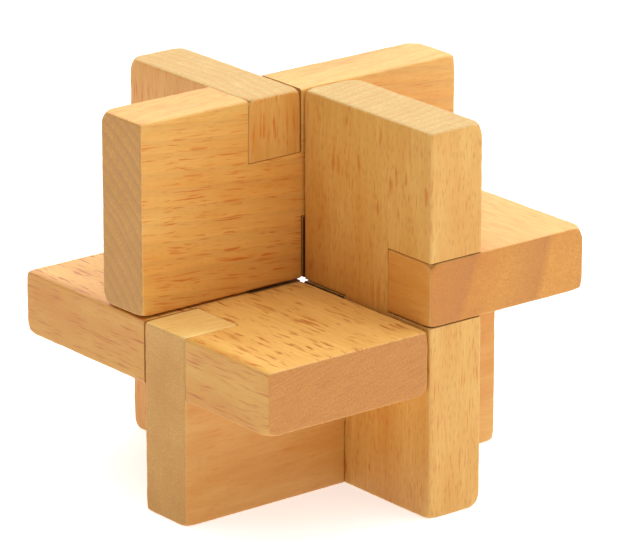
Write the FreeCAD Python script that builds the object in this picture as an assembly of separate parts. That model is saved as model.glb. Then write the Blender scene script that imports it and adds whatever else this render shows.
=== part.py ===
"""Burr puzzle: equal notched boards, crossed in pairs along three directions to make a cube.

The boards are cut from flat stock with the grain along their length. Each has two cuts:
a long slot in its inner edge, and a short notch in its outer edge. A crossing board sits
edge-on in the slot, and the hook of wood left at the end of the slot fills that board's notch.

Frame: +Z up, origin under the centre of the cube, on the surface that it stands on.
"""
import FreeCAD, Part
import os

# Driving dimensions, in millimetres
board_length = 60.0     # along the grain, and the side of the finished cube
board_width = 29.85     # from the inner edge to the outer edge
board_thickness = 9.9
hook_length = 9.8       # wood left at the board's end, past the slot
centre_gap = 0.3        # between the two boards of a pair, across the centre plane
fit_gap = 0.1           # from a crossing board to each side of the cut that it sits in
outer_round = 0.8       # sanding on the long edges that stand outside, done before the cuts
inner_round = 0.4       # sanding on the long edges that meet at the cube's centre
end_round = 0.5         # sanding round the sawn ends

# Distances from the centre planes of the cube
near_face = centre_gap / 2
far_face = near_face + board_thickness
inner_edge = centre_gap / 2
outer_edge = inner_edge + board_width
board_end = board_length / 2

# A cut spans a crossing board and its clearance. A slot also runs back over the centre gap,
# so that the gap stays open all the way to the middle of the cube.
cut_near = near_face - fit_gap
cut_far = far_face + fit_gap
slot_start = -near_face
slot_end = board_end - hook_length
notch_floor = slot_end - fit_gap

# The puzzle stands on the lower edge board and the ends of both upright boards
centre_height = max(board_end, outer_edge)

overcut = 1.0           # how far a cutting tool runs out of the wood
on_plane = 0.001        # how near to a plane an edge's vertices are, to count as on it

X = FreeCAD.Vector(1, 0, 0)
Y = FreeCAD.Vector(0, 1, 0)
Z = FreeCAD.Vector(0, 0, 1)

# node: (way the length runs, way the outer edge points, side of the centre plane it lies on)
board_ways = {
    "edge_board_upper": (Y, Z, -X),
    "edge_board_lower": (-Y, -Z, X),
    "upright_board_left": (Z, -X, -Y),
    "upright_board_right": (-Z, X, Y),
    "flat_board_front": (-X, -Y, -Z),
    "flat_board_back": (X, Y, Z),
}


def edges_on(shape, axis, place):
    """The shape's edges that lie in the plane where the named coordinate has this value."""
    found = []
    for edge in shape.Edges:
        if all(abs(getattr(vertex, axis) - place) < on_plane for vertex in edge.Vertexes):
            found.append(edge)
    return found


def along_length(edges):
    """Those of the edges that run along the board's length."""
    return [edge for edge in edges if abs(edge.tangentAt(edge.FirstParameter).x) > 0.5]


def sanded_blank():
    """The board before its cuts: X along the length, Y towards the outer edge, Z through it."""
    corner = FreeCAD.Vector(-board_end, inner_edge, -board_thickness / 2)
    blank = Part.makeBox(board_length, board_width, board_thickness, corner)
    blank = blank.makeFillet(outer_round, along_length(edges_on(blank, "Y", outer_edge)))
    blank = blank.makeFillet(inner_round, along_length(edges_on(blank, "Y", inner_edge)))
    for end in (-board_end, board_end):
        blank = blank.makeFillet(end_round, edges_on(blank, "X", end))
    return blank


def saw_cut(length_from, length_to, width_from, width_to):
    """The wood that a cut takes out, right through the board's thickness."""
    depth = board_thickness + 2 * overcut
    corner = FreeCAD.Vector(length_from, width_from, -depth / 2)
    return Part.makeBox(length_to - length_from, width_to - width_from, depth, corner)


def notched_board():
    """One finished board in its own frame, with its slot and its notch."""
    slot = saw_cut(slot_start, slot_end, inner_edge - overcut, cut_far)
    notch = saw_cut(-cut_far, -cut_near, notch_floor, outer_edge + overcut)
    return sanded_blank().cut(slot).cut(notch)


def placed_board(board, length_way, width_way, side):
    """A copy of the board, turned and moved to its place in the cube."""
    placed = board.copy()
    turn = FreeCAD.Rotation(length_way, width_way, length_way.cross(width_way), "XYZ")
    middle = side * (near_face + board_thickness / 2) + Z * centre_height
    placed.Placement = FreeCAD.Placement(middle, turn)
    return placed


os.makedirs("parts", exist_ok=True)
board = notched_board()
for node, (length_way, width_way, side) in board_ways.items():
    placed = placed_board(board, length_way, width_way, side)
    placed.exportStep("parts/" + node + ".step")
    print(node, placed.isValid(), len(placed.Solids), round(placed.Volume, 1), placed.BoundBox)
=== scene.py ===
"""Burr puzzle: six equal notched boards of beech, crossed in pairs to make a cube."""
import math

import bpy
from mathutils import Matrix, Vector


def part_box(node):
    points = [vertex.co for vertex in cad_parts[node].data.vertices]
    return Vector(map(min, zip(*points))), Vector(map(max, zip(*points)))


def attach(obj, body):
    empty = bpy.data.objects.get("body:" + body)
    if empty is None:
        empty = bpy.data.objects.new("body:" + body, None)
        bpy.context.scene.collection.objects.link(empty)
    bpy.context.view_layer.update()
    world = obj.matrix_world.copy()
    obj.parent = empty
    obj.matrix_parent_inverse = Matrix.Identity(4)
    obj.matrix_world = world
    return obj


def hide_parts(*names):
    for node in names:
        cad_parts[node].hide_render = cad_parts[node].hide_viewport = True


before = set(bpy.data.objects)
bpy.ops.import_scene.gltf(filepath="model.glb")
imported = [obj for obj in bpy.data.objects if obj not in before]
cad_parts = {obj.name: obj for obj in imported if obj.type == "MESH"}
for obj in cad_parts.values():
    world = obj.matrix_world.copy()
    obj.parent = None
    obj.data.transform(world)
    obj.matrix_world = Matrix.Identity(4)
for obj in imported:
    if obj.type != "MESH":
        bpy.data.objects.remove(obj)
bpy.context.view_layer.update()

MM = 0.001              # a millimetre, in metres

# One board, in millimetres. Its own axes: X along the grain, Y towards the outer edge, Z through it.
LENGTH = 60.0
WIDTH = 29.85
THICKNESS = 9.9
INNER_EDGE = 0.15       # from the cube's centre plane
SLOT_START = -0.15      # along the length: a slot runs back over the centre gap
SLOT_END = 20.2
CUT_NEAR = 0.05         # a cut takes a crossing board from here
CUT_FAR = 10.15         # to here, out from the centre plane
NOTCH_FLOOR = 20.1      # a notch runs in from the outer edge to here

X = Vector((1, 0, 0))
Y = Vector((0, 1, 0))
Z = Vector((0, 0, 1))

# The kinds of node that are used most
MATH = "ShaderNodeMath"
VECTOR = "ShaderNodeVectorMath"
RANGED = "ShaderNodeMapRange"
NOISE = "ShaderNodeTexNoise"
MIX = "ShaderNodeMix"


def add(tree, kind, inputs=None, **settings):
    """Adds a node. An input is a value, or a socket or node whose first output is linked to it."""
    node = tree.nodes.new(kind)
    for name, value in settings.items():
        setattr(node, name, value)
    for key, value in (inputs or {}).items():
        socket = node.inputs[key]
        if isinstance(value, bpy.types.Node):
            value = next(out for out in value.outputs if out.enabled)
        if isinstance(value, bpy.types.NodeSocket):
            tree.links.new(value, socket)
        else:
            socket.default_value = value
    return node


def linear(hex_colour):
    """An sRGB hex colour as linear RGBA."""
    parts = [int(hex_colour[i:i + 2], 16) / 255 for i in (1, 3, 5)]
    return [c / 12.92 if c <= 0.04045 else ((c + 0.055) / 1.055) ** 2.4 for c in parts] + [1.0]


# ---------------------------------------------------------------- the boards' shape

BOARD_SIZES = {             # in millimetres, but for the shares
    "Length": LENGTH,
    "Width": WIDTH,
    "Thickness": THICKNESS,
    "Inner edge": INNER_EDGE,
    "Outer rounding": 0.3,
    "Inner rounding": 0.3,
    "End rounding": 0.3,
    "Far side rounder": 1.15,   # a share: how much rounder the edges are on the board's outer face
    "Far side": 1.0,            # 1 or -1: where that face is, along the board's own Z
    "Corner pull": 0.7,         # how far the very corners are sanded back
    "Nicks": 0.45,              # a share: how much more is rubbed away at the small dents
    "Worn arris": 0.05,         # on the edges left by a cut
    "Sanding waves": 0.05,
    "Seed": 0.0,
}


BLANK_POINTS = (105, 61, 29)    # along the length, the width and the thickness
CUTTER_POINTS = (64, 44, 34)
CORNER_ZONE = 2.2               # how far from a corner its wear starts
DIAGONAL = 0.577                # each axis's share of one step along a cube's diagonal
SHARPEST_SMOOTH = math.radians(32)


def block_of(tree, counts):
    """A closed block, from -1 to 1 each way, and its points' places crowded towards its edges."""
    block = add(tree, "GeometryNodeMeshCube", {"Size": (2, 2, 2), "Vertices X": counts[0],
                                               "Vertices Y": counts[1], "Vertices Z": counts[2]})
    even = add(tree, VECTOR, {0: add(tree, "GeometryNodeInputPosition"), 1: (math.pi / 2,) * 3},
               operation="MULTIPLY")
    return block, add(tree, VECTOR, {0: even}, operation="SINE")


def saw_cut(tree, size, length_span, width_span, mouth, mouth_side):
    """A closed cutter, right through the board, that flares at its mouths by the rubbed-away arris."""
    arris = size["Worn arris"]
    block, crowded = block_of(tree, CUTTER_POINTS)
    place = add(tree, "ShaderNodeSeparateXYZ", {0: crowded})
    half_depth = add(tree, MATH, {0: size["Thickness"], 1: 0.5, 2: arris},
                     operation="MULTIPLY_ADD")
    depth = add(tree, MATH, {0: place.outputs["Z"], 1: half_depth}, operation="MULTIPLY")
    # the cutter runs out of the wood by one arris at its mouth, as it does at both faces
    low, high = width_span
    if mouth_side < 0:
        low = add(tree, MATH, {0: mouth, 1: arris}, operation="SUBTRACT")
    else:
        high = add(tree, MATH, {0: mouth, 1: arris}, operation="ADD")
    span = add(tree, MATH, {0: high, 1: low}, operation="SUBTRACT")
    half_width = add(tree, MATH, {0: span, 1: 0.5}, operation="MULTIPLY")
    total = add(tree, MATH, {0: high, 1: low}, operation="ADD")
    mid_width = add(tree, MATH, {0: total, 1: 0.5}, operation="MULTIPLY")
    width = add(tree, MATH, {0: place.outputs["Y"], 1: half_width, 2: mid_width},
                operation="MULTIPLY_ADD")
    # how far a point is into the rubbed zone, at a face and at the mouth
    face_zone = add(tree, MATH, {0: size["Thickness"], 1: 0.5}, operation="MULTIPLY")
    face_zone = add(tree, MATH, {0: face_zone, 1: arris}, operation="SUBTRACT")
    from_middle = add(tree, MATH, {0: depth}, operation="ABSOLUTE")
    at_face = add(tree, MATH, {0: from_middle, 1: face_zone}, operation="SUBTRACT")
    at_face = add(tree, MATH, {0: at_face, 1: 0.0}, operation="MAXIMUM")
    at_mouth = add(tree, MATH, {0: width, 1: mouth}, operation="SUBTRACT")
    at_mouth = add(tree, MATH, {0: at_mouth, 1: float(mouth_side), 2: arris},
                   operation="MULTIPLY_ADD")
    at_mouth = add(tree, MATH, {0: at_mouth, 1: 0.0}, operation="MAXIMUM")
    at_face = add(tree, MATH, {0: at_face, 1: 2.0}, operation="POWER")
    at_mouth = add(tree, MATH, {0: at_mouth, 1: 2.0}, operation="POWER")
    length_centre = (length_span[0] + length_span[1]) / 2
    half_length = (length_span[1] - length_span[0]) / 2
    # the arris frays, in dents of about a millimetre
    length = add(tree, MATH, {0: place.outputs["X"], 1: half_length, 2: length_centre},
                 operation="MULTIPLY_ADD")
    unworn = add(tree, "ShaderNodeCombineXYZ", {0: length, 1: width, 2: depth})
    fray = add(tree, NOISE, {"Vector": unworn, "W": size["Seed"], "Scale": 0.9, "Detail": 2.0},
               noise_dimensions="4D")
    fray = add(tree, RANGED, {0: fray.outputs[0], 1: 0.3, 2: 0.75, 3: 0.2, 4: 2.2})
    share = add(tree, MATH, {0: fray, 1: arris}, operation="DIVIDE")
    flare_face = add(tree, MATH, {0: at_face, 1: share}, operation="MULTIPLY")
    flare_mouth = add(tree, MATH, {0: at_mouth, 1: share}, operation="MULTIPLY")
    flare_both = add(tree, MATH, {0: flare_face, 1: flare_mouth}, operation="ADD")
    reach = add(tree, MATH, {0: flare_both, 1: half_length}, operation="ADD")
    along = add(tree, MATH, {0: place.outputs["X"], 1: reach, 2: length_centre},
                operation="MULTIPLY_ADD")
    reach = add(tree, MATH, {0: flare_face, 1: half_width}, operation="ADD")
    across = add(tree, MATH, {0: place.outputs["Y"], 1: reach, 2: mid_width},
                 operation="MULTIPLY_ADD")
    corner = add(tree, "ShaderNodeCombineXYZ", {0: along, 1: across, 2: depth})
    # painted shade: the wall where a cut starts is darkened near the cut's mouth, so that the seam
    # between the boards looks dark
    wall = add(tree, MATH, {0: place.outputs["X"], 1: -0.9999}, operation="LESS_THAN")
    inward = add(tree, MATH, {0: mouth, 1: width}, operation="SUBTRACT")
    inward = add(tree, MATH, {0: inward, 1: float(mouth_side)}, operation="MULTIPLY")
    shade_near_mouth = add(tree, RANGED, {0: inward, 1: 0.35, 2: 1.3, 3: 1.0, 4: 0.0})
    wall = add(tree, MATH, {0: wall, 1: shade_near_mouth}, operation="MULTIPLY")
    block = add(tree, "GeometryNodeStoreNamedAttribute",
                {"Geometry": block, "Name": "seam_shade", "Value": wall}, data_type="FLOAT", domain="FACE")
    return add(tree, "GeometryNodeSetPosition", {"Geometry": block, "Position": corner})


def rounded(tree, point, limit, radius):
    """Brings points that stand out past the limits on more than one side back to the radius.

    Also gives each point's share of the rounding, from 0 on a flat to 1 on what was the arris; the wood
    is made paler there, partly as rubbing and partly as a painted highlight.
    """
    inner = add(tree, VECTOR, {0: point, 1: limit}, operation="MINIMUM")
    negative = add(tree, VECTOR, {0: limit, 1: (-1, -1, -1)}, operation="MULTIPLY")
    inner = add(tree, VECTOR, {0: inner, 1: negative}, operation="MAXIMUM")
    out = add(tree, VECTOR, {0: point, 1: inner}, operation="SUBTRACT")
    how_far = add(tree, VECTOR, {0: out}, operation="LENGTH")
    excess = add(tree, MATH, {0: how_far.outputs["Value"], 1: radius}, operation="SUBTRACT")
    arris_share = add(tree, MATH, {0: excess, 1: radius}, operation="DIVIDE")
    arris_share = add(tree, RANGED, {0: arris_share, 1: 0.0, 2: 0.3, 3: 0.0, 4: 1.0})
    kept = add(tree, MATH, {0: how_far.outputs["Value"], 1: radius}, operation="MINIMUM")
    way = add(tree, VECTOR, {0: out}, operation="NORMALIZE")
    kept = add(tree, VECTOR, {0: way, "Scale": kept}, operation="SCALE")
    return add(tree, VECTOR, {0: inner, 1: kept}, operation="ADD"), arris_share


def board_tree():
    """The tree that makes one notched board, in millimetres, then turns and places it in metres."""
    tree = bpy.data.node_groups.new("Notched board", "GeometryNodeTree")
    tree.interface.new_socket(name="Board", in_out="OUTPUT", socket_type="NodeSocketGeometry")
    for name, value in BOARD_SIZES.items():
        socket = tree.interface.new_socket(name=name, in_out="INPUT", socket_type="NodeSocketFloat")
        socket.default_value = value
    tree.interface.new_socket(name="Place", in_out="INPUT", socket_type="NodeSocketVector")
    tree.interface.new_socket(name="Turn", in_out="INPUT", socket_type="NodeSocketRotation")
    tree.interface.new_socket(name="Wood", in_out="INPUT", socket_type="NodeSocketMaterial")
    size = add(tree, "NodeGroupInput").outputs

    block, crowded = block_of(tree, BLANK_POINTS)
    whole = add(tree, "ShaderNodeCombineXYZ",
                {0: size["Length"], 1: size["Width"], 2: size["Thickness"]})
    half = add(tree, VECTOR, {0: whole, 1: (0.5, 0.5, 0.5)}, operation="MULTIPLY")
    point = add(tree, VECTOR, {0: crowded, 1: half}, operation="MULTIPLY")
    parts = add(tree, "ShaderNodeSeparateXYZ", {0: point})
    halves = add(tree, "ShaderNodeSeparateXYZ", {0: half})

    # sanding by hand: the radius drifts along each edge, over about 6 mm, with small dents
    drift = add(tree, NOISE, {"Vector": point, "W": size["Seed"], "Scale": 0.17, "Detail": 3.0,
                              "Roughness": 0.6}, noise_dimensions="4D")
    drift = add(tree, RANGED, {0: drift.outputs[0], 1: 0.3, 2: 0.7, 3: 0.8, 4: 1.2})
    nicks = add(tree, NOISE, {"Vector": point, "W": size["Seed"], "Scale": 0.75, "Detail": 2.0},
                noise_dimensions="4D")
    nicks = add(tree, RANGED, {0: nicks.outputs[0], 1: 0.35, 2: 0.7, 3: 0.0, 4: 1.0})
    nicks = add(tree, MATH, {0: nicks, 1: size["Nicks"], 2: 1.0}, operation="MULTIPLY_ADD")
    drift = add(tree, MATH, {0: drift, 1: nicks}, operation="MULTIPLY")
    low = add(tree, VECTOR, {0: half, 1: (-1, -1, -1)}, operation="MULTIPLY")
    lows = add(tree, "ShaderNodeSeparateXYZ", {0: low})
    through = add(tree, MATH, {0: parts.outputs["Z"], 1: size["Far side"]}, operation="MULTIPLY")
    rounder = add(tree, RANGED, {0: through, 1: lows.outputs["Z"], 2: halves.outputs["Z"], 3: 1.0,
                                 4: size["Far side rounder"]})
    rounder = add(tree, MATH, {0: rounder, 1: drift}, operation="MULTIPLY")
    radius = add(tree, RANGED, {0: parts.outputs["Y"], 1: lows.outputs["Y"], 2: halves.outputs["Y"],
                                3: size["Inner rounding"], 4: size["Outer rounding"]})
    radius = add(tree, MATH, {0: radius, 1: rounder}, operation="MULTIPLY")
    ring = add(tree, "ShaderNodeCombineXYZ", {0: 0.0, 1: radius, 2: radius})
    limit = add(tree, VECTOR, {0: half, 1: ring}, operation="SUBTRACT")
    point, long_arris_share = rounded(tree, point, limit, radius)

    # the crosscut ends are eased all round
    radius = add(tree, MATH, {0: size["End rounding"], 1: drift}, operation="MULTIPLY")
    limit = add(tree, VECTOR, {0: half, 1: radius}, operation="SUBTRACT")
    point, end_arris_share = rounded(tree, point, limit, radius)

    # the very corners lose most, above all on the board's outer face
    corner = DIAGONAL
    for side in "XYZ":
        depth = add(tree, MATH, {0: parts.outputs[side]}, operation="ABSOLUTE")
        depth = add(tree, MATH, {0: depth, 1: halves.outputs[side]}, operation="SUBTRACT")
        depth = add(tree, RANGED, {0: depth, 1: -CORNER_ZONE, 2: 0.0, 3: 0.0, 4: 1.0})
        depth = add(tree, MATH, {0: depth, 1: 2.0}, operation="POWER")
        corner = add(tree, MATH, {0: depth, 1: corner}, operation="MULTIPLY")
    corner = add(tree, MATH, {0: corner, 1: size["Corner pull"]}, operation="MULTIPLY")
    corner = add(tree, MATH, {0: corner, 1: drift}, operation="MULTIPLY")
    outer = add(tree, RANGED, {0: through, 1: lows.outputs["Z"], 2: halves.outputs["Z"], 3: 0.45,
                               4: 1.0})
    corner = add(tree, MATH, {0: corner, 1: outer}, operation="MULTIPLY")
    way = add(tree, VECTOR, {0: crowded}, operation="SIGN")
    pull = add(tree, VECTOR, {0: way, "Scale": corner}, operation="SCALE")
    point = add(tree, VECTOR, {0: point, 1: pull}, operation="SUBTRACT")
    # how near each point is to an arris, kept for the paler edges: partly rubbing, partly a painted
    # highlight
    arris_share = add(tree, MATH, {0: long_arris_share, 1: end_arris_share}, operation="MAXIMUM")
    block = add(tree, "GeometryNodeStoreNamedAttribute",
                {"Geometry": block, "Name": "wear_and_highlight", "Value": arris_share}, data_type="FLOAT", domain="POINT")
    shift = add(tree, MATH, {0: halves.outputs["Y"], 1: size["Inner edge"]}, operation="ADD")
    shift = add(tree, "ShaderNodeCombineXYZ", {1: shift})
    point = add(tree, VECTOR, {0: point, 1: shift}, operation="ADD")
    board = add(tree, "GeometryNodeSetPosition", {"Geometry": block, "Position": point})

    # shallow waves from the sanding belt, inwards only
    waves = add(tree, NOISE, {"Vector": add(tree, "GeometryNodeInputPosition"), "W": size["Seed"],
                              "Scale": 0.22, "Detail": 2.0, "Roughness": 0.55}, noise_dimensions="4D")
    waves = add(tree, MATH, {0: waves.outputs[0], 1: size["Sanding waves"]}, operation="MULTIPLY")
    waves = add(tree, MATH, {0: waves, 1: -1.0}, operation="MULTIPLY")
    outwards = add(tree, "GeometryNodeInputNormal")
    inwards = add(tree, VECTOR, {0: outwards, "Scale": waves}, operation="SCALE")
    board = add(tree, "GeometryNodeSetPosition", {"Geometry": board, "Offset": inwards})

    slot = saw_cut(tree, size, (SLOT_START, SLOT_END), (0.0, CUT_FAR), size["Inner edge"], -1)
    outer_edge = add(tree, MATH, {0: size["Inner edge"], 1: size["Width"]}, operation="ADD")
    notch = saw_cut(tree, size, (-CUT_FAR, -CUT_NEAR), (NOTCH_FLOOR, 0.0), outer_edge, 1)
    board = add(tree, "GeometryNodeMeshBoolean", {"Mesh 1": board, "Mesh 2": slot},
                operation="DIFFERENCE", solver="MANIFOLD")
    board = add(tree, "GeometryNodeMeshBoolean", {"Mesh 1": board, "Mesh 2": notch},
                operation="DIFFERENCE", solver="MANIFOLD")

    placed = add(tree, "GeometryNodeTransform", {"Geometry": board, "Translation": size["Place"],
                                                 "Rotation": size["Turn"], "Scale": (MM, MM, MM)})
    angle = add(tree, "GeometryNodeInputMeshEdgeAngle").outputs[0]
    sharp = add(tree, MATH, {0: angle, 1: SHARPEST_SMOOTH}, operation="GREATER_THAN")
    smooth = add(tree, "GeometryNodeSetShadeSmooth", {"Geometry": placed, "Shade Smooth": True})
    smooth = add(tree, "GeometryNodeSetShadeSmooth", {"Geometry": smooth, "Selection": sharp,
                                                      "Shade Smooth": False}, domain="EDGE")
    real = add(tree, "GeometryNodeRealizeInstances", {"Geometry": smooth})
    wooden = add(tree, "GeometryNodeSetMaterial", {"Geometry": real, "Material": size["Wood"]})
    add(tree, "NodeGroupOutput", {"Board": wooden})
    return tree


def notched_board(name, tree, place, turn, seed, wood, sizes):
    """One finished board as a plain mesh, in its place in the cube."""
    blank = bpy.data.objects.new(name + "_blank", bpy.data.meshes.new(name + "_blank"))
    bpy.context.scene.collection.objects.link(blank)
    modifier = blank.modifiers.new("Notched board", "NODES")
    modifier.node_group = tree
    sockets = {item.name: item.identifier for item in tree.interface.items_tree
               if item.item_type == "SOCKET" and item.in_out == "INPUT"}
    for size_name, value in {**BOARD_SIZES, **sizes}.items():
        modifier[sockets[size_name]] = value
    modifier[sockets["Seed"]] = seed
    modifier[sockets["Place"]] = place
    modifier[sockets["Turn"]] = turn
    modifier[sockets["Wood"]] = wood
    evaluated = blank.evaluated_get(bpy.context.evaluated_depsgraph_get())
    mesh = bpy.data.meshes.new_from_object(evaluated)
    mesh.name = name
    bpy.data.objects.remove(blank)
    board = bpy.data.objects.new(name, mesh)
    bpy.context.scene.collection.objects.link(board)
    return board


# ---------------------------------------------------------------- the wood

A, B, MIXED = 6, 7, 2           # a Mix node's colour sockets
GRAIN_DEPTH = 0.03              # millimetres
WEAR_AND_HIGHLIGHT_COLOUR = "#F6D79A"         # bare wood, where the wax is rubbed off an edge; it also stands in as a painted highlight where the roundings catch the light
SEAM_SHADE_COLOUR = "#4A2C14"      # painted shade: near-black brown for the dark seams between the boards


def stretched(tree, place, spacing):
    """The place, counted in cells of so many millimetres along the grain, to the pith and round it."""
    return add(tree, VECTOR, {0: place, 1: [1 / size for size in spacing]}, operation="MULTIPLY")


def beech(name, centre, length_way, board):
    """Beech, planed, belt-sanded and rubbed with wax.

    The planing bares short ray flecks and pores in pale gold wood, the belt leaves the ends dull,
    and the wax gives the sides a soft, satin sheen.
    """
    material = bpy.data.materials.new("Sanded waxed beech, " + name.replace("_", " "))
    material.use_nodes = True
    tree = material.node_tree
    tree.nodes.clear()
    coordinates = add(tree, "ShaderNodeTexCoord")
    grain = (length_way + board["grain_tilt"]).normalized()
    radial = (board["from_pith"] - grain * grain.dot(board["from_pith"])).normalized()
    axes = Matrix((grain, radial, grain.cross(radial))).transposed()
    # millimetres: X along the grain, Y out from the pith, Z along the growth rings
    wood = add(tree, "ShaderNodeMapping", {"Vector": coordinates.outputs["Object"], "Location": centre,
                                           "Rotation": axes.to_euler(), "Scale": (MM, MM, MM)},
               vector_type="TEXTURE")
    wood = add(tree, VECTOR, {0: wood, 1: board["log_place"]}, operation="ADD")
    split = add(tree, "ShaderNodeSeparateXYZ", {0: wood})

    # end grain, where the surface faces along the grain
    facing = add(tree, VECTOR, {0: coordinates.outputs["Normal"], 1: length_way},
                 operation="DOT_PRODUCT")
    facing = add(tree, MATH, {0: facing.outputs["Value"]}, operation="ABSOLUTE")
    end = add(tree, RANGED, {0: facing, 1: 0.55, 2: 0.9, 3: 0.0, 4: 1.0})

    # growth rings
    warp = add(tree, NOISE, {"Vector": stretched(tree, wood, (33, 7, 7)), "Scale": 1.0, "Detail": 1.0})
    curve = add(tree, MATH, {0: split.outputs["Z"], 1: 2.0}, operation="POWER")
    radius = add(tree, MATH, {0: curve, 1: 0.5 / board["pith"], 2: split.outputs["Y"]},
                 operation="MULTIPLY_ADD")
    radius = add(tree, MATH, {0: warp.outputs[0], 1: board["ring_drift"], 2: radius},
                 operation="MULTIPLY_ADD")
    years = add(tree, NOISE, {"W": radius, "Scale": 0.3, "Detail": 2.0}, noise_dimensions="1D")
    radius = add(tree, MATH, {0: years.outputs[0], 1: board["ring_drift"] * 1.6, 2: radius},
                 operation="MULTIPLY_ADD")
    year = add(tree, MATH, {0: radius, 1: board["ring_width"]}, operation="DIVIDE")
    late = add(tree, "ShaderNodeValToRGB", {0: add(tree, MATH, {0: year}, operation="FRACT")})
    ramp = late.color_ramp
    ramp.elements[0].position, ramp.elements[0].color = 0.0, (0, 0, 0, 1)
    ramp.elements[1].position, ramp.elements[1].color = 1.0, (0, 0, 0, 1)
    for position, grey in ((0.4, 0.2), (0.9, 1.0)):
        ramp.elements.new(position).color = (grey, grey, grey, 1)
    ring_strength = add(tree, RANGED, {0: end, 3: board["rings"][0], 4: board["rings"][1]})
    late = add(tree, MATH, {0: late.outputs[0], 1: ring_strength}, operation="MULTIPLY")

    # slow changes of tone, and the fibres' own streaks
    tone = add(tree, NOISE, {"Vector": stretched(tree, wood, (22, 6, 6)), "Scale": 1.0, "Detail": 3.0,
                             "Roughness": 0.6})
    tone = add(tree, RANGED, {0: tone.outputs[0], 1: 0.3, 2: 0.7, 3: 0.0, 4: 1.0})
    fibre = add(tree, NOISE, {"Vector": stretched(tree, wood, (6, 0.4, 0.4)), "Scale": 1.0,
                              "Detail": 3.0, "Roughness": 0.65})
    fibre = add(tree, RANGED, {0: fibre.outputs[0], 1: 0.3, 2: 0.7, 3: 0.0, 4: 1.0})

    # the wood turns paler outwards, where it grew last
    inner, outer = [place + board["log_place"][1] for place in board["sapwood"]]
    sap = add(tree, RANGED, {0: split.outputs["Y"], 1: inner, 2: outer, 3: 0.0, 4: 1.0})
    sap = add(tree, MATH, {0: tone, 1: -0.4, 2: sap}, operation="MULTIPLY_ADD", use_clamp=True)

    # rays: ribbons along the grain, thin round the pith and deep towards it
    sway = add(tree, NOISE, {"Vector": stretched(tree, wood, (6, 9, 2)), "Scale": 1.0})
    sway = add(tree, VECTOR, {0: sway.outputs[1], 1: (0.0, 0.0, 1.0)}, operation="MULTIPLY")
    swayed = add(tree, VECTOR, {0: wood, 1: sway}, operation="ADD")
    layers = []
    for spacing, smallest, largest, share in board["rays"]:
        cells = add(tree, "ShaderNodeTexVoronoi",
                    {"Vector": stretched(tree, swayed, spacing), "Scale": 1.0},
                    feature="F1", voronoi_dimensions="3D", distance="MANHATTAN")
        luck = add(tree, "ShaderNodeSeparateColor", {0: cells.outputs["Color"]})
        reach = add(tree, RANGED, {0: luck.outputs[0], 1: 1 - share, 2: 1.0, 3: smallest, 4: largest})
        there = add(tree, MATH, {0: luck.outputs[0], 1: 1 - share}, operation="GREATER_THAN")
        inside = add(tree, MATH, {0: reach, 1: cells.outputs["Distance"]}, operation="SUBTRACT")
        inside = add(tree, RANGED, {0: inside, 1: -0.02, 2: 0.2, 3: 0.0, 4: 1.0})
        depth = add(tree, RANGED, {0: luck.outputs[1], 3: 0.4, 4: 1.0})
        inside = add(tree, MATH, {0: inside, 1: there}, operation="MULTIPLY")
        layers.append(add(tree, MATH, {0: inside, 1: depth}, operation="MULTIPLY"))
    rays = add(tree, MATH, {0: layers[0], 1: layers[1]}, operation="MAXIMUM")
    strength = add(tree, RANGED, {0: end, 3: board["ray_strength"], 4: board["ray_strength"] * 0.25})
    in_sap = add(tree, RANGED, {0: sap, 3: 1.0, 4: board["sap_rays"]})
    strength = add(tree, MATH, {0: strength, 1: in_sap}, operation="MULTIPLY")
    rays_shown = add(tree, MATH, {0: rays, 1: strength}, operation="MULTIPLY")

    # on the ends the rays are fine lines that run out from the pith, among the cut fibres
    lines = add(tree, NOISE, {"Vector": stretched(tree, wood, (3, 4, 0.3)), "Scale": 1.0, "Detail": 2.0})
    lines = add(tree, RANGED, {0: lines.outputs[0], 1: 0.42, 2: 0.66, 3: 0.0, 4: board["end_lines"]})
    lines = add(tree, MATH, {0: lines, 1: end}, operation="MULTIPLY")
    grit = add(tree, NOISE, {"Vector": stretched(tree, wood, (3, 0.32, 0.32)), "Scale": 1.0,
                             "Detail": 2.0, "Roughness": 0.6})
    grit = add(tree, RANGED, {0: grit.outputs[0], 1: 0.35, 2: 0.65, 3: 0.0, 4: board["end_grit"]})
    grit = add(tree, MATH, {0: grit, 1: end}, operation="MULTIPLY")

    # pores: hair-thin and short along the grain, and dots on the ends. Real ones are 0.05 mm wide,
    # and these are drawn 0.15 mm wide, so that they show
    pores = add(tree, "ShaderNodeTexVoronoi",
                {"Vector": stretched(tree, wood, (1.6, 0.24, 0.24)), "Scale": 1.0},
                feature="F1", voronoi_dimensions="3D")
    luck = add(tree, "ShaderNodeSeparateColor", {0: pores.outputs["Color"]})
    pores = add(tree, RANGED, {0: pores.outputs["Distance"], 1: 0.45, 2: 0.2, 3: 0.0, 4: 1.0})
    pores = add(tree, MATH, {0: pores, 1: luck.outputs[0]}, operation="MULTIPLY")
    pores_shown = add(tree, MATH, {0: pores, 1: board["pore_strength"]}, operation="MULTIPLY")

    # the ground colours of the sides and of the ends
    grounds = []
    for pale, deep, sap_colour in (("pale", "deep", "sap"), ("end_pale", "end_deep", "end_sap")):
        ground = add(tree, MIX, {0: tone, A: linear(board[pale]), B: linear(board[deep])},
                     data_type="RGBA").outputs[MIXED]
        ground = add(tree, MIX, {0: sap, A: ground, B: linear(board[sap_colour])},
                     data_type="RGBA").outputs[MIXED]
        grounds.append(ground)
    colour = add(tree, MIX, {0: end, A: grounds[0], B: grounds[1]}, data_type="RGBA").outputs[MIXED]
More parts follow.
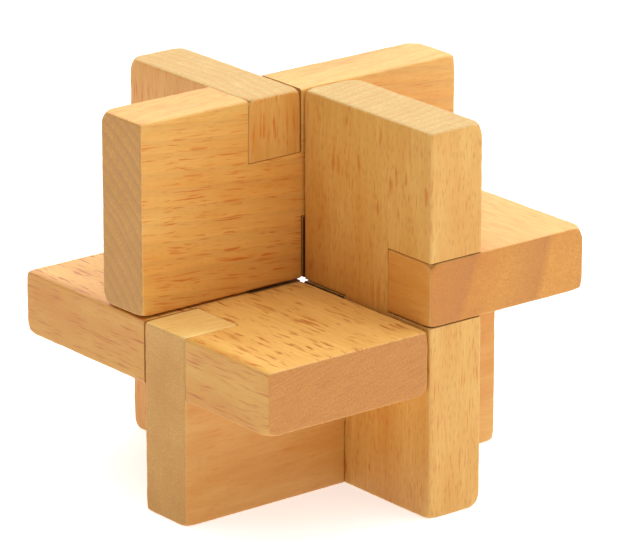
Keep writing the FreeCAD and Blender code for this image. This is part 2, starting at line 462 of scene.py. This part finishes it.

    # the figure, the edges paler (partly rubbing, partly a painted highlight), and painted shade on the
    # mouth of a cut's first wall, for the dark seams
    streaks = add(tree, MATH, {0: fibre, 1: board["streaks"]}, operation="MULTIPLY")
    # paler edges where the roundings are: partly rubbing, partly a painted highlight
    wear_and_highlight = add(tree, "ShaderNodeAttribute", attribute_name="wear_and_highlight").outputs["Fac"]
    wear_and_highlight = add(tree, MATH, {0: wear_and_highlight, 1: board["edge_wear_and_highlight"]}, operation="MULTIPLY")
    # painted shade in the seams: a cut's first wall, near its mouth, is mixed towards near-black brown
    seam_shade = add(tree, "ShaderNodeAttribute", attribute_name="seam_shade").outputs["Fac"]
    seam_shade = add(tree, MATH, {0: seam_shade, 1: 0.9}, operation="MULTIPLY")
    for share, ink in ((streaks, board["deep"]), (late, board["late"]), (lines, board["end_dark"]),
                       (grit, board["end_dark"]), (pores_shown, board["pore"]),
                       (rays_shown, board["ray"]), (wear_and_highlight, WEAR_AND_HIGHLIGHT_COLOUR), (seam_shade, SEAM_SHADE_COLOUR)):
        colour = add(tree, MIX, {0: share, A: colour, B: linear(ink)}, data_type="RGBA").outputs[MIXED]

    rough = add(tree, RANGED, {0: fibre, 3: 0.46, 4: 0.58})
    rough = add(tree, MATH, {0: end, 1: 0.12, 2: rough}, operation="MULTIPLY_ADD")
    height = add(tree, MATH, {0: pores, 1: -0.6, 2: fibre}, operation="MULTIPLY_ADD")
    height = add(tree, MATH, {0: rays, 1: -0.5, 2: height}, operation="MULTIPLY_ADD")
    bump = add(tree, "ShaderNodeBump", {"Height": height, "Strength": 0.5, "Distance": GRAIN_DEPTH * MM})
    skin = add(tree, "ShaderNodeBsdfPrincipled",
               {"Base Color": colour, "Roughness": rough, "Normal": bump, "IOR": 1.5,
                "Coat Weight": 0.08, "Coat Roughness": 0.35})
    add(tree, "ShaderNodeOutputMaterial", {0: skin})
    return material


# The wood of each board: its colours, then its figure. Lengths are in millimetres.
# rings: how much they show on the sides and on the ends. sapwood: where it starts and is full, out
# from the board's middle. rays: two sizes, each from one ray to the next along the grain, towards
# the pith and round it, then the smallest and the largest reach in those cells, and the share of
# the cells that hold a ray.
GOLD = {
    "pale": "#EFBC68", "deep": "#E09938", "late": "#D08A3A", "pore": "#B4682A", "ray": "#D4701A",
    "end_pale": "#D9AC70", "end_deep": "#CB985C", "end_dark": "#AE7A3E",
    "sap": "#F7C66F", "end_sap": "#E0B478", "sapwood": (90, 100), "sap_rays": 1.0,
    "pith": 70.0, "ring_width": 2.2, "ring_drift": 1.4, "rings": (0.25, 0.25),
    "end_lines": 0.3, "end_grit": 0.35,
    "rays": (((7.0, 0.6, 0.45), 0.28, 0.55, 0.5), ((4.0, 0.4, 0.32), 0.28, 0.5, 0.45)),
    "ray_strength": 0.9, "pore_strength": 0.2, "streaks": 0.6, "edge_wear_and_highlight": 0.1,
    "log_place": (0, 0, 0), "grain_tilt": Vector((0, 0, 0)),
}
BOARDS = {
    "edge_board_upper": (Y, Z, {
        **GOLD, "from_pith": X * 0.64 + Z * 0.77, "grain_tilt": Z * -0.1, "log_place": (11, 3, 0),
        "pale": "#F2BE64", "deep": "#E59F42", "sap": "#EFBF66", "sapwood": (9, 13), "sap_rays": 0.25,
        "end_pale": "#C59646", "end_deep": "#B78638", "end_dark": "#946832", "end_sap": "#C59646",
        "late": "#B98248", "rings": (0.2, 0.8), "ring_width": 1.9, "end_lines": 0.15, "end_grit": 0.25,
        "rays": (((9.0, 0.6, 0.34), 0.3, 0.6, 0.7), ((6.0, 0.4, 0.27), 0.3, 0.56, 0.7)),
        }, {"Far side": -1.0, "Outer rounding": 0.36}),
    "edge_board_lower": (-Y, -Z, {
        **GOLD, "from_pith": Z * 0.99 + X * 0.14, "log_place": (150, 33, 8),
        "pale": "#E2B062", "deep": "#D28F36", "sap": "#FFE08C", "sapwood": (9, 13),
        "end_pale": "#D8A856", "end_deep": "#CB9444", "end_sap": "#DDAE60", "rings": (0.15, 0.1),
        "ray_strength": 0.3, "streaks": 0.35, "end_lines": 0.12, "end_grit": 0.5,
        }, {"Corner pull": 0.35}),
    "upright_board_left": (Z, -X, {
        **GOLD, "from_pith": Y * 1.0 + X * 0.05, "log_place": (310, -30, 2), "ray_strength": 1.0,
        "pale": "#E9B866", "deep": "#D9953A",
        "end_pale": "#DBC684", "end_deep": "#CFB672", "end_dark": "#BE9650",
        "rings": (0.25, 0.4), "ring_width": 1.6,
        "rays": (((7.0, 0.6, 0.42), 0.3, 0.6, 0.75), ((4.5, 0.4, 0.3), 0.3, 0.56, 0.7)),
        }, {"Outer rounding": 0.4}),
    "upright_board_right": (-Z, X, {
        **GOLD, "from_pith": X * 0.98 + Y * 0.2, "log_place": (470, 60, 0),
        "pale": "#E8BC68", "deep": "#D89C44", "ray": "#CC7424", "ray_strength": 0.75,
        "pore": "#A8622A", "pore_strength": 0.45,
        "end_pale": "#DBC684", "end_deep": "#CFB672", "end_dark": "#BE9650",
        "ring_width": 1.7, "rings": (0.2, 0.45),
        "rays": (((6.0, 1.4, 0.5), 0.34, 0.6, 0.42), ((4.0, 0.5, 0.24), 0.28, 0.54, 0.6)),
        }, {"Far side": -1.0, "Outer rounding": 0.26, "Far side rounder": 1.3}),
    "flat_board_front": (-X, -Y, {
        **GOLD, "from_pith": Y * 0.97 + Z * 0.25, "log_place": (630, -50, 0),
        "pale": "#D9A446", "deep": "#CC8628", "sap": "#F8C66E", "sapwood": (-13.2, -11.4),
        "ray": "#BE681A", "streaks": 0.28, "ray_strength": 1.0,
        "rays": (((8.0, 1.6, 0.42), 0.32, 0.64, 0.5), ((6.0, 0.7, 0.27), 0.34, 0.64, 0.7)),
        "end_pale": "#D29648", "end_deep": "#C3843A", "end_dark": "#A8622A", "end_sap": "#CC8E44",
        "rings": (0.15, 0.5), "ring_width": 1.2, "end_lines": 0.3, "end_grit": 0.45,
        }, {"Far side": -1.0, "Corner pull": 0.5}),
    "flat_board_back": (X, Y, {
        **GOLD, "from_pith": Y * 0.95 - Z * 0.3, "log_place": (790, 5.9, 0), "late": "#B87434",
        "pale": "#E6B05C", "deep": "#D68E34", "sap": "#EFC46C", "sapwood": (-10, 0),
        "end_pale": "#D38B33", "end_deep": "#C87D2B", "end_dark": "#AA6222", "end_sap": "#E2A246",
        "ring_width": 14.0, "ring_drift": 0.3, "rings": (0.06, 0.6), "ray_strength": 0.35,
        "end_lines": 0.1, "end_grit": 0.3,
        }, {}),
}


# ---------------------------------------------------------------- camera, floor and light

# Lengths are in metres here, but for the lens
CAMERA_AZIMUTH = math.radians(51.48)
CAMERA_ELEVATION = math.radians(18.63)
CAMERA_DISTANCE = 0.7498
CAMERA_LENS = 281.4                             # mm, on a sensor 36 mm wide
CUBE_MIDDLE = Vector((0, 0, 0.030))
AIM_RIGHT, AIM_UP = 0.002175, 0.000213          # past the cube's middle
FLOOR_HALF = 6.0
LIGHT_FROM = Vector((-0.15, 0.42, 0.89)).normalized()
LIGHT_LOW, LIGHT_HIGH = 0.0, 2.12               # below the horizon, and where the light comes from


def studio():
    """The camera, the floor and the light."""
    scene = bpy.context.scene
    level = Vector((math.sin(CAMERA_AZIMUTH), -math.cos(CAMERA_AZIMUTH), 0))
    back = level * math.cos(CAMERA_ELEVATION) + Z * math.sin(CAMERA_ELEVATION)
    right = Vector((math.cos(CAMERA_AZIMUTH), math.sin(CAMERA_AZIMUTH), 0))
    up = back.cross(right)
    lens = bpy.data.cameras.new("Camera")
    lens.sensor_width = 36.0
    lens.lens = CAMERA_LENS
    lens.clip_start, lens.clip_end = 0.05, 20.0
    camera = bpy.data.objects.new("Camera", lens)
    aim = CUBE_MIDDLE + right * AIM_RIGHT + up * AIM_UP
    turn = Matrix((right, up, back)).transposed().to_4x4()
    camera.matrix_world = Matrix.Translation(aim + back * CAMERA_DISTANCE) @ turn
    scene.collection.objects.link(camera)
    scene.camera = camera

    # pressed card: even and with no shine. It glows a little, so that it stays white under the cube
    paper = bpy.data.materials.new("Matt white card")
    paper.use_nodes = True
    shader = paper.node_tree.nodes["Principled BSDF"]
    shader.inputs["Base Color"].default_value = linear("#DDDDDC")
    shader.inputs["Roughness"].default_value = 0.9
    shader.inputs["Specular IOR Level"].default_value = 0.1
    shader.inputs["Emission Color"].default_value = (1, 1, 1, 1)
    shader.inputs["Emission Strength"].default_value = 0.6
    sheet = bpy.data.meshes.new("floor")
    corners = [(x * FLOOR_HALF, y * FLOOR_HALF, 0) for x, y in ((-1, -1), (1, -1), (1, 1), (-1, 1))]
    sheet.from_pydata(corners, [], [(0, 1, 2, 3)])
    sheet.materials.append(paper)
    floor = bpy.data.objects.new("floor", sheet)
    scene.collection.objects.link(floor)

    # soft light from all of the upper half, strongest from above and behind
    world = bpy.data.worlds.new("Studio")
    world.use_nodes = True
    tree = world.node_tree
    tree.nodes.clear()
    way = add(tree, "ShaderNodeTexCoord").outputs["Generated"]
    towards = add(tree, VECTOR, {0: way, 1: LIGHT_FROM}, operation="DOT_PRODUCT").outputs["Value"]
    strength = add(tree, RANGED, {0: towards, 1: -0.1, 2: 1.0, 3: LIGHT_LOW, 4: LIGHT_HIGH},
                   interpolation_type="SMOOTHSTEP")
    light = add(tree, "ShaderNodeBackground", {"Color": (1, 1, 1, 1), "Strength": strength})
    add(tree, "ShaderNodeOutputWorld", {0: light})
    scene.world = world
    scene.view_settings.view_transform = "Standard"


studio()
shape = board_tree()
for index, (name, (length_way, width_way, marks, sizes)) in enumerate(BOARDS.items()):
    low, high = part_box(name)
    centre = (low + high) / 2
    axes = Matrix((length_way, width_way, length_way.cross(width_way))).transposed()
    # the board's own origin is on the cube's centre plane, not in the board's middle
    place = centre - width_way * (INNER_EDGE + WIDTH / 2) * MM
    wood = beech(name, centre, length_way, marks)
    seed = 3.7 * (index + 1)
    board = notched_board("beech_" + name, shape, place, axes.to_euler(), seed, wood, sizes)
    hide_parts(name)
    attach(board, name)
